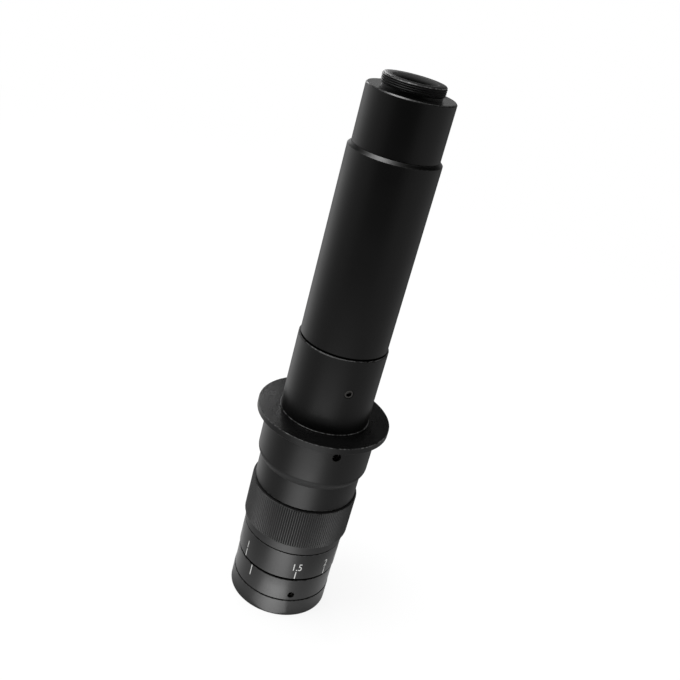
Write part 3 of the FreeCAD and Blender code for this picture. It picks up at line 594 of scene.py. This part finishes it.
for ring in ("front_ring", "index_ring", "scale_ring"):
    paint(ring, anodised(ring + "_black", RING_TONE, RING_ROUGHNESS, rims(ring)))
grip_edges = rims("zoom_grip_ring", GRIP_INSET)
paint("zoom_grip_ring", anodised("grip_black", GRIP_TONE, GRIP_ROUGHNESS, grip_edges))

body_edges = [
    (FLANGE_RADIUS - EDGE_INSET, BODY_TOP - EDGE_INSET),
    (NECK_RADIUS, BODY_FOOT + EDGE_INSET),
]
body_black = anodised(
    "body_black", BODY_TONE, BODY_ROUGHNESS, body_edges, (BODY_TOP,), wear=1.0, dull=FLARE
)
paint("body_housing", body_black)

lower_edges = [
    (BEAD_RADIUS - LIP_INSET, LOWER_TUBE_TOP - LIP_DROP),
    (BEAD_RADIUS - EDGE_INSET, BODY_TOP + BEAD_LIFT),
]
lower_black = anodised("lower_tube_black", TUBE_TONE, TUBE_ROUGHNESS, lower_edges, wear=1.0)
paint("lower_tube", lower_black)

main_edges = [
    (TUBE_RADIUS - BEVEL_WIDTH, TUBE_TOP - EDGE_INSET),
    (TUBE_RADIUS - EDGE_INSET, TUBE_TOP - BEVEL_DROP),
]
main_black = anodised("main_tube_black", TUBE_TONE, TUBE_ROUGHNESS, main_edges, wear=0.15)
paint("main_tube", main_black)

adapter_edges = [(ADAPTER_RADIUS - CAP_INSET, SHOULDER - LIP_DROP)]
adapter_black = anodised("adapter_black", TUBE_TONE, TUBE_ROUGHNESS, adapter_edges, (SHOULDER,))
paint("c_mount_adapter", adapter_black)

thread_edges = [(CAMERA_THREAD_RADIUS - CREST_INSET, ADAPTER_TOP - CREST_INSET)]
# The bore of the threaded neck gets painted light at its mouth.
thread_black = anodised(
    "thread_black", THREAD_TONE, THREAD_ROUGHNESS, thread_edges, (ADAPTER_TOP,), wear=1.2,
    mouth=(THROAT, ADAPTER_TOP)
)
print("outside pieces are finished")

# %% Inside pieces
INSIDE_TONE = 0.010
INSIDE_ROUGHNESS = 0.55
inside_black = anodised("inside_black", INSIDE_TONE, INSIDE_ROUGHNESS)
subparts = frame["record"]["subparts"]
inside = [row["node"] for row in subparts if row["material_slot"] == "inner_black"]
for node in inside:
    paint(node, inside_black)
print("inside pieces:", len(inside))

# %% Glass, brass, steel and washers
GLASS_COLOUR = (0.93, 0.96, 0.95, 1)
COATING_TINT = (0.55, 0.42, 0.95, 1)
BRASS_COLOUR = (0.72, 0.52, 0.24)
STEEL_COLOUR = (0.16, 0.155, 0.15)
PLASTIC_DARK = (0.03, 0.028, 0.026, 1)
PLASTIC_LIGHT = (0.06, 0.056, 0.05, 1)
METAL_STAIN = 0.75
METAL_RELIEF = 0.003
SPECKLE_RELIEF = 0.004


def coated_glass():
    """Clear glass with the violet shine of a lens coating."""
    made, tree = new_material("coated_glass")
    spot, _, _ = turned_place(tree)
    smear = tree.noise(spot, 0.25, 3.0)
    values = {
        "Base Color": GLASS_COLOUR,
        "Roughness": smear * 0.03,
        "IOR": 1.52,
        "Transmission Weight": 1.0,
        "Specular Tint": COATING_TINT,
    }
    finish_off(tree, values)
    return made


def bare_metal(name, tone, roughness, grooves):
    """Turned metal with no coating."""
    made, tree = new_material(name)
    spot, _, _ = turned_place(tree)
    marks = tree.noise(spot, grooves, 3.0)
    stain = tree.noise(spot, 0.6, 2.0)
    dark = tuple(METAL_STAIN * part for part in tone) + (1,)
    colour = tree.blend(marks * 0.5 + stain * 0.5, dark, tuple(tone) + (1,))
    rough = roughness + (marks - 0.5) * 0.15
    bump = tree.add("ShaderNodeBump", None, {"Distance": METAL_RELIEF * MM, "Height": marks})
    finish_off(tree, {"Base Color": colour, "Roughness": rough, "Metallic": 1.0}, bump)
    return made


def slide_plastic():
    """Dark plastic with a fine speckle."""
    made, tree = new_material("slide_plastic")
    spot, _, _ = turned_place(tree)
    speckle = tree.noise(spot, 6.0, 3.0)
    colour = tree.blend(speckle, PLASTIC_DARK, PLASTIC_LIGHT)
    bump = tree.add("ShaderNodeBump", None, {"Distance": SPECKLE_RELIEF * MM, "Height": speckle})
    finish_off(tree, {"Base Color": colour, "Roughness": 0.5 + speckle * 0.15}, bump)
    return made


finishes = {
    "glass": coated_glass(),
    "brass": bare_metal("pin_brass", BRASS_COLOUR, 0.3, 4.0),
    "screw_steel": bare_metal("screw_black_oxide", STEEL_COLOUR, 0.34, 5.0),
    "washer_plastic": slide_plastic(),
}
for row in subparts:
    if row["material_slot"] in finishes:
        paint(row["node"], finishes[row["material_slot"]])
print("materials:", len(bpy.data.materials))

# %% [markdown]
# ## Recipes in Geometry Nodes
# The camera thread and the zoom scale follow rules, so each is a node group with named inputs.
# The group is run once on an empty object, its result is kept as a plain mesh, and the modifier
# is taken away. A helper opens a group with its inputs, one closes it and one runs it.

# %% Helpers for Geometry Nodes
SAME_POINT = 1e-7


def open_recipe(name, inputs):
    """Start a node group, and give its tree and a wire for each input."""
    group = bpy.data.node_groups.new(name, "GeometryNodeTree")
    for title, value in inputs.items():
        kind = {str: "String", int: "Int", float: "Float"}[type(value)]
        socket = group.interface.new_socket(title, in_out="INPUT", socket_type="NodeSocket" + kind)
        socket.default_value = value
    group.interface.new_socket("Geometry", in_out="OUTPUT", socket_type="NodeSocketGeometry")
    tree = Tree(group)
    entry = tree.node("NodeGroupInput")
    return tree, {title: Wire(tree, entry.outputs[title]) for title in inputs}


def close_recipe(tree, shape, material):
    """End a node group with real geometry that has one material."""
    real = tree.add("GeometryNodeRealizeInstances", None, {0: shape})
    painted = tree.add("GeometryNodeSetMaterial", None, {"Geometry": real, "Material": material})
    tree.node("NodeGroupOutput", None, {0: painted})
    return tree.tree


def run_recipe(name, group, values, smooth_angle=None):
    """Make an object from a node group, with some of its inputs changed."""
    maker = bpy.data.objects.new(name, bpy.data.meshes.new(name))
    scene.collection.objects.link(maker)
    modifier = maker.modifiers.new("recipe", "NODES")
    modifier.node_group = group
    for socket in group.interface.items_tree:
        if socket.in_out == "INPUT" and socket.name in values:
            modifier[socket.identifier] = values[socket.name]
    evaluated = maker.evaluated_get(bpy.context.evaluated_depsgraph_get())
    mesh = bpy.data.meshes.new_from_object(evaluated)
    maker.modifiers.clear()
    maker.data = mesh
    return finish_mesh(maker, smooth_angle)


def finish_mesh(made, smooth_angle):
    """Turn every face outwards, and shade round stretches smoothly."""
    work = bmesh.new()
    work.from_mesh(made.data)
    bmesh.ops.remove_doubles(work, verts=work.verts, dist=SAME_POINT)
    bmesh.ops.recalc_face_normals(work, faces=work.faces)
    open_edges = sum(not edge.is_manifold for edge in work.edges)
    work.to_mesh(made.data)
    work.free()
    if smooth_angle:
        made.data.shade_smooth()
        made.data.set_sharp_from_angle(angle=math.radians(smooth_angle))
    print(made.name, len(made.data.polygons), "faces,", open_edges, "open edges")
    return made


# %% [markdown]
# ## Screw threads
# The camera thread is 25.4 mm over its crests and has 32 turns to the inch. One grid of points
# becomes the whole threaded ring: along one side of the grid the points go round the axis, and
# along the other they climb the threaded wall and come back down the plain wall behind it. The
# wall's radius follows a zigzag that moves up by one pitch in one turn. The zigzag is made too
# tall and cut off at both ends, which leaves flats on the crests and the roots. The same recipe
# with its groove turned outwards makes the thread inside the front ring.

# %% Thread recipe
ZIGZAG_GAIN = 2.6
ZIGZAG_DROP = 0.15
THREAD_HEIGHT = 3.8
PLAIN_WALL_ROWS = 4


def thread_recipe(material):
    """A threaded ring; all lengths are in millimetres."""
    tree, wire = open_recipe("thread", {
        "Crest Radius": CAMERA_THREAD_RADIUS,
        "Groove Outwards": -1.0,
        "Groove Depth": 0.43,
        "Back Radius": THROAT,
        "Foot": ADAPTER_TOP - THREAD_HEIGHT,
        "Height": THREAD_HEIGHT,
        "Pitch": CAMERA_THREAD_PITCH,
        "Bevel": 0.5,
        "Points Round": 161,
        "Points Up": 60,
    })
    grid = tree.add("GeometryNodeMeshGrid", None, {
        "Size X": 1.0,
        "Size Y": 1.0,
        "Vertices X": wire["Points Round"],
        "Vertices Y": wire["Points Up"] + PLAIN_WALL_ROWS,
    })
    across, along, _ = tree.split(tree.add("GeometryNodeInputPosition"))
    turn = across + 0.5
    row = (along + 0.5) * (wire["Points Up"] + PLAIN_WALL_ROWS - 1)
    share = (row / wire["Points Up"]).math("MINIMUM", 1.0)
    on_wall = (wire["Points Up"] + 0.5).math("GREATER_THAN", row)
    at_end = row.math("GREATER_THAN", wire["Points Up"] + 2.5)
    goes_down = row.math("GREATER_THAN", wire["Points Up"] + 1.5)
    climb = share * wire["Height"] * (1 - goes_down)
    phase = (climb / wire["Pitch"] - turn).math("FRACT")
    zigzag = (phase - 0.5).math("ABSOLUTE") * ZIGZAG_GAIN - ZIGZAG_DROP
    zigzag = zigzag.math("MAXIMUM", 0.0).math("MINIMUM", 1.0)
    to_end = climb.math("MINIMUM", wire["Height"] - climb)
    chamfer = (wire["Bevel"] - to_end).math("MAXIMUM", 0.0)
    cut = (zigzag * wire["Groove Depth"]).math("MAXIMUM", chamfer)
    wall = wire["Crest Radius"] + cut * wire["Groove Outwards"]
    wall_share = on_wall.math("MAXIMUM", at_end)
    radius = wall * wall_share + wire["Back Radius"] * (1 - wall_share)
    angle = turn * math.tau
    place = tree.join(
        radius * angle.math("COSINE") * MM,
        radius * angle.math("SINE") * MM,
        (climb + wire["Foot"]) * MM,
    )
    bent = tree.add("GeometryNodeSetPosition", None, {"Geometry": grid, "Position": place})
    return close_recipe(tree, bent, material)


# %% Camera adapter with its thread
RELIEF_RADIUS = 12.0
RELIEF_TOP = SHOULDER + 1.05
SPIGOT_RADIUS = 17.05
SPIGOT_BORE = 15.3
BARREL_BORE = 10.4
FOOT_BEVEL = 0.2
SHOULDER_BEVEL = 0.5
THROAT_FOOT = SHOULDER - 0.6
CAP_FOOT = SHOULDER - 4.0
THREAD_OVERLAP = 0.01
BARREL_SEGMENTS = 192
BARREL_SMOOTH = 25
THREAD_SMOOTH = 50


def revolve(name, outline, segments, material):
    """Turn a closed outline of radius and height pairs, in millimetres, round the axis."""
    points = [
        (radius * math.cos(math.tau * turn / segments) * MM,
         radius * math.sin(math.tau * turn / segments) * MM,
         height * MM)
        for turn in range(segments) for radius, height in outline
    ]
    count = len(outline)
    faces = []
    for turn in range(segments):
        here, there = turn * count, (turn + 1) % segments * count
        for step in range(count):
            after = (step + 1) % count
            faces.append((here + step, there + step, there + after, here + after))
    mesh = bpy.data.meshes.new(name)
    mesh.from_pydata(points, [], faces)
    mesh.materials.append(material)
    made = bpy.data.objects.new(name, mesh)
    scene.collection.objects.link(made)
    return finish_mesh(made, BARREL_SMOOTH)


camera_thread = run_recipe("camera_thread", thread_recipe(thread_black), {}, THREAD_SMOOTH)
adapter_barrel = revolve("adapter_barrel", [
    (SPIGOT_BORE, SPIGOT_FOOT),
    (SPIGOT_RADIUS, SPIGOT_FOOT),
    (SPIGOT_RADIUS, TUBE_TOP),
    (ADAPTER_RADIUS - FOOT_BEVEL, TUBE_TOP),
    (ADAPTER_RADIUS, TUBE_TOP + FOOT_BEVEL),
    (ADAPTER_RADIUS, SHOULDER - SHOULDER_BEVEL),
    (ADAPTER_RADIUS - SHOULDER_BEVEL, SHOULDER),
    (RELIEF_RADIUS, SHOULDER),
    (RELIEF_RADIUS, RELIEF_TOP + THREAD_OVERLAP),
    (THROAT, RELIEF_TOP + THREAD_OVERLAP),
    (THROAT, THROAT_FOOT),
    (BARREL_BORE, THROAT_FOOT),
    (BARREL_BORE, CAP_FOOT),
    (SPIGOT_BORE, CAP_FOOT),
], BARREL_SEGMENTS, adapter_black)
for piece in (camera_thread, adapter_barrel):
    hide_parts("c_mount_adapter")
    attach(piece, "lens_body")

# %% Thread for add-on lenses, inside the front ring
front_thread_material = bpy.data.materials["front_ring_black"]
front_thread = run_recipe("front_thread", thread_recipe(front_thread_material), {
    "Crest Radius": 19.6,
    "Groove Outwards": 1.0,
    "Groove Depth": 0.38,
    "Back Radius": 20.02,
    "Foot": 0.3,
    "Height": 4.6,
    "Pitch": 0.75,
    "Bevel": 0.38,
    "Points Up": 86,
}, THREAD_SMOOTH)
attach(front_thread, "lens_body")

# %% [markdown]
# ## Zoom scale
# The ring is engraved with a line and a number for each power from 0.7 to 4.5, filled with
# white paint. The lines stand wide apart at low power and close up towards high power: their
# direction changes with the power raised to a negative exponent. From 3 on they stand close, so
# the figures are narrower there. The fixed index line stands on the ring below. Each mark is a
# thin closed plate that stands a few hundredths of a millimetre proud of its ring.

# %% Paint for the marks
MARK_DIM = (0.34, 0.34, 0.33, 1)
MARK_WHITE = (0.58, 0.58, 0.57, 1)


def mark_paint():
    """White paint that has worn unevenly."""
    made, tree = new_material("mark_paint")
    spot, _, _ = turned_place(tree)
    speckle = tree.noise(spot, 5.0, 3.0)
    colour = tree.blend(speckle, MARK_DIM, MARK_WHITE)
    bump = tree.add("ShaderNodeBump", None, {"Distance": SPECKLE_RELIEF * MM, "Height": speckle})
    finish_off(tree, {"Base Color": colour, "Roughness": 0.45 + speckle * 0.2}, bump)
    return made


paint_white = mark_paint()
SCALE_RADIUS, SCALE_FOOT, _ = measure("scale_ring")
INDEX_RADIUS, _, INDEX_TOP = measure("index_ring")
print("scale ring:", SCALE_RADIUS, SCALE_FOOT, "index ring:", INDEX_RADIUS, INDEX_TOP)

# %% Direction of a mark
FIRST_POWER = 0.7
POWER_STEP = 0.5
MARK_COUNT = 9
ONE_AZIMUTH = -49.3
SCALE_SPREAD = 300.0
SCALE_EXPONENT = -0.62
INDEX_AZIMUTH = -35.9


def mark_azimuth(power):
    """Degrees from the camera's side to a power's mark, counted towards the right."""
    return ONE_AZIMUTH + SCALE_SPREAD * (1 - power ** SCALE_EXPONENT)


powers = [max(FIRST_POWER, POWER_STEP * (step + 1)) for step in range(MARK_COUNT)]
print({power: round(mark_azimuth(power), 1) for power in powers})

# %% Line recipe
LINE_LIFT = 0.25


def line_recipe(material):
    """Scale lines round a ring, in millimetres and degrees."""
    tree, wire = open_recipe("scale_lines", {
        "Ring Radius": SCALE_RADIUS,
        "Foot": SCALE_FOOT + LINE_LIFT,
        "Length": 4.0,
        "Width": 0.45,
        "Thickness": 0.06,
        "First Power": FIRST_POWER,
        "Power Step": POWER_STEP,
        "Azimuth At One": ONE_AZIMUTH,
        "Spread": SCALE_SPREAD,
        "Exponent": SCALE_EXPONENT,
        "Count": MARK_COUNT,
    })
    step = tree.add("GeometryNodeInputIndex") + 1
    power = (step * wire["Power Step"]).math("MAXIMUM", wire["First Power"])
    bend = 1 - power.math("POWER", wire["Exponent"])
    angle = (bend * wire["Spread"] + wire["Azimuth At One"]) * math.radians(1)
    reach = wire["Ring Radius"] * MM
    place = tree.join(
        angle.math("SINE") * reach,
        angle.math("COSINE") * reach * -1,
        (wire["Foot"] + wire["Length"] * 0.5) * MM,
    )
    points = tree.add("GeometryNodePoints", None, {"Count": wire["Count"], "Position": place})
    size = tree.join(wire["Width"] * MM, wire["Thickness"] * MM, wire["Length"] * MM)
    plate = tree.add("GeometryNodeMeshCube", None, {"Size": size})
    turned_about = tree.join(0.0, 0.0, angle)
    plates = tree.add("GeometryNodeInstanceOnPoints", None, {
        "Points": points,
        "Instance": plate,
        "Rotation": turned_about,
    })
    return close_recipe(tree, plates, material)


INDEX_FOOT = INDEX_TOP - 5.75
INDEX_LENGTH = 5.6
lines = line_recipe(paint_white)
scale_lines = run_recipe("scale_lines", lines, {})
index_line = run_recipe("index_line", lines, {
    "Ring Radius": INDEX_RADIUS,
    "Foot": INDEX_FOOT,
    "Length": INDEX_LENGTH,
    "First Power": 1.0,
    "Azimuth At One": INDEX_AZIMUTH,
    "Count": 1,
})

# %% Number recipe
WIDE_FIGURES = 0.74
NARROW_FIGURES = 0.56
NARROW_FROM = 3.0
FIGURE_LIFT = 4.9
SUNK_SHARE = 0.3


def number_recipe(material):
    """A number on a ring, as a closed plate bent round it, in millimetres and degrees."""
    tree, wire = open_recipe("number", {
        "Text": "1",
        "Letter Size": 5.5,
        "Squeeze": WIDE_FIGURES,
        "Ring Radius": SCALE_RADIUS,
        "Foot": SCALE_FOOT + FIGURE_LIFT,
        "Azimuth": 0.0,
        "Thickness": 0.03,
    })
    settings = {"align_x": "CENTER", "align_y": "BOTTOM_BASELINE"}
    inputs = {"String": wire["Text"], "Size": wire["Letter Size"]}
    letters = tree.add("GeometryNodeStringToCurves", settings, inputs)
    outlines = tree.add("GeometryNodeRealizeInstances", None, {0: letters})
    flat = tree.add("GeometryNodeFillCurve", None, {"Curve": outlines})
    fine = tree.add("GeometryNodeSubdivideMesh", None, {"Mesh": flat, "Level": 2})
    raised = tree.add("GeometryNodeExtrudeMesh", None, {
        "Mesh": fine,
        "Offset": tree.join(0.0, 0.0, 1.0),
        "Offset Scale": wire["Thickness"],
        "Individual": False,
    })
    below = tree.add("GeometryNodeFlipFaces", None, {"Mesh": fine})
    both = tree.node("GeometryNodeJoinGeometry")
    tree.tree.links.new(raised.socket, both.inputs[0])
    tree.tree.links.new(below.socket, both.inputs[0])
    closed = tree.add("GeometryNodeMergeByDistance", None, {
        "Geometry": Wire(tree, both.outputs[0]),
        "Distance": 0.001,
    })
    across, up, out = tree.split(tree.add("GeometryNodeInputPosition"))
    angle = wire["Azimuth"] * math.radians(1) + across * wire["Squeeze"] / wire["Ring Radius"]
    radius = (wire["Ring Radius"] - wire["Thickness"] * SUNK_SHARE + out) * MM
    place = tree.join(
        angle.math("SINE") * radius,
        angle.math("COSINE") * radius * -1,
        (wire["Foot"] + up) * MM,
    )
    bent = tree.add("GeometryNodeSetPosition", None, {"Geometry": closed, "Position": place})
    return close_recipe(tree, bent, material)


numbers = number_recipe(paint_white)
number_pieces = [
    run_recipe("number_%g" % power, numbers, {
        "Text": "%g" % power,
        "Azimuth": mark_azimuth(power),
        "Squeeze": WIDE_FIGURES if power < NARROW_FROM else NARROW_FIGURES,
    })
    for power in powers
]
for piece in number_pieces + [scale_lines]:
    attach(piece, "zoom_ring")
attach(index_line, "lens_body")
